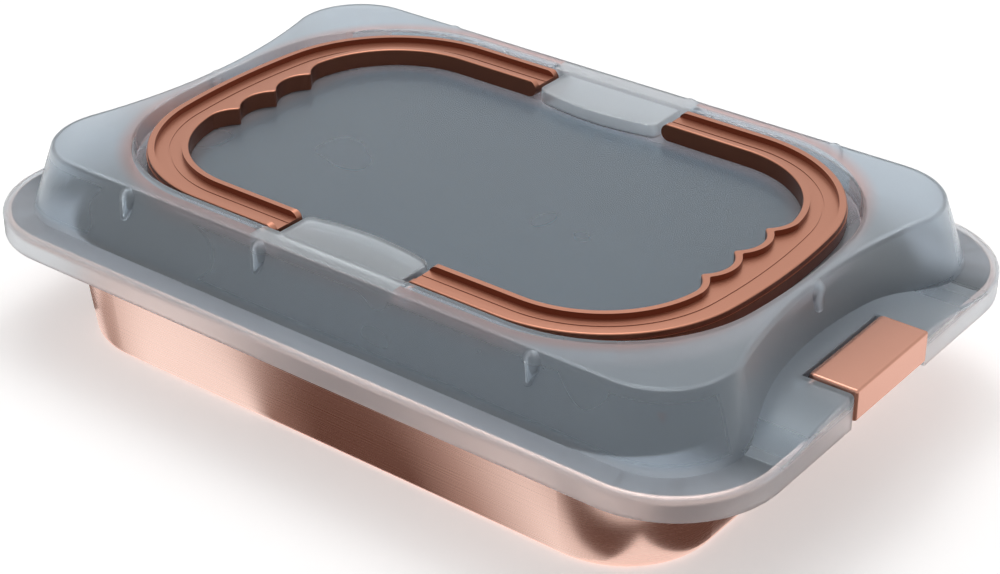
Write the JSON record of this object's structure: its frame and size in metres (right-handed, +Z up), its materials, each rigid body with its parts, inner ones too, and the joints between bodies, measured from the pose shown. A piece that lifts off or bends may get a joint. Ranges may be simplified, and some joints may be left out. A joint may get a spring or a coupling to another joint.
{
  "type": "cake pan with lid",
  "caption": "Rectangular metal cake pan with a translucent clip-on lid whose carrying handles fold flat into its top.",
  "frame": {"origin": "on the table, at the middle of the pan's bottom", "axes": "+X along the pan's long side, towards the right end as seen from the front; +Y across, away from the front; +Z up"},
  "size_m": [0.395, 0.2586, 0.0889],
  "materials": {
    "copper_finish": "bright rose-copper metallic coat outside, dark non-stick coat inside",
    "frosted_plastic": "frosted, translucent",
    "terracotta_plastic": "satin, with a copper tint"
  },
  "bodies": {
    "pan_and_lid": {"pan": "copper_finish", "lid": "frosted_plastic"},
    "handle_left": {"carry_handle_left": "terracotta_plastic"},
    "handle_right": {"carry_handle_right": "terracotta_plastic"},
    "clip_left": {"rim_clip_left": "terracotta_plastic"},
    "clip_right": {"rim_clip_right": "terracotta_plastic"}
  },
  "joints": [
    {"name": "handle_left_hinge", "type": "hinge", "parent": "pan_and_lid", "child": "handle_left", "pos_m": [-0.0389, 0, 0.0845], "axis": [0, 1, 0], "range_deg": [0, 107]},
    {"name": "handle_right_hinge", "type": "hinge", "parent": "pan_and_lid", "child": "handle_right", "pos_m": [0.0389, 0, 0.0845], "axis": [0, -1, 0], "range_deg": [0, 107]},
    {"name": "clip_left_hinge", "type": "hinge", "parent": "pan_and_lid", "child": "clip_left", "pos_m": [-0.1781, 0, 0.0614], "axis": [0, 1, 0], "range_deg": [0, 100]},
    {"name": "clip_right_hinge", "type": "hinge", "parent": "pan_and_lid", "child": "clip_right", "pos_m": [0.1781, 0, 0.0614], "axis": [0, -1, 0], "range_deg": [0, 100]}
  ]
}
